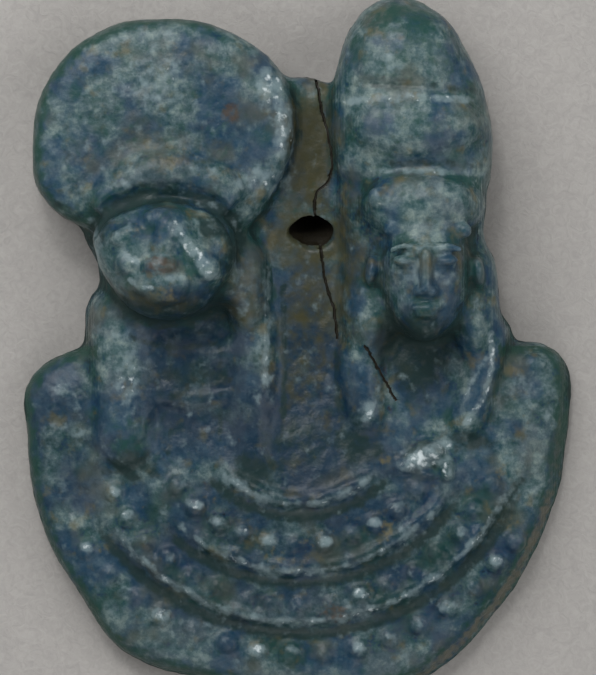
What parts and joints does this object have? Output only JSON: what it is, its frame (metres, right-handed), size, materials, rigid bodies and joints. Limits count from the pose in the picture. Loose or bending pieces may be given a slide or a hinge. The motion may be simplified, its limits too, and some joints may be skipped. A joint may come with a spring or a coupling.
{
  "type": "aegis amulet",
  "caption": "Flat-backed moulded faience amulet: a lioness under a sun disc and a crowned head side by side on a broad beaded collar, pierced between the heads for a cord.",
  "frame": {"origin": "middle of the flat back, below the centre of the outline", "axes": "+Y from the collar to the crown, +Z out of the relief, +X to the right of someone who faces it"},
  "size_m": [0.0248, 0.0316, 0.0073],
  "materials": {
    "glazed_faience": "worn mottled blue-green glaze, satin with small glossy patches"
  },
  "bodies": {
    "root": {"amulet": "glazed_faience"}
  },
  "joints": []
}
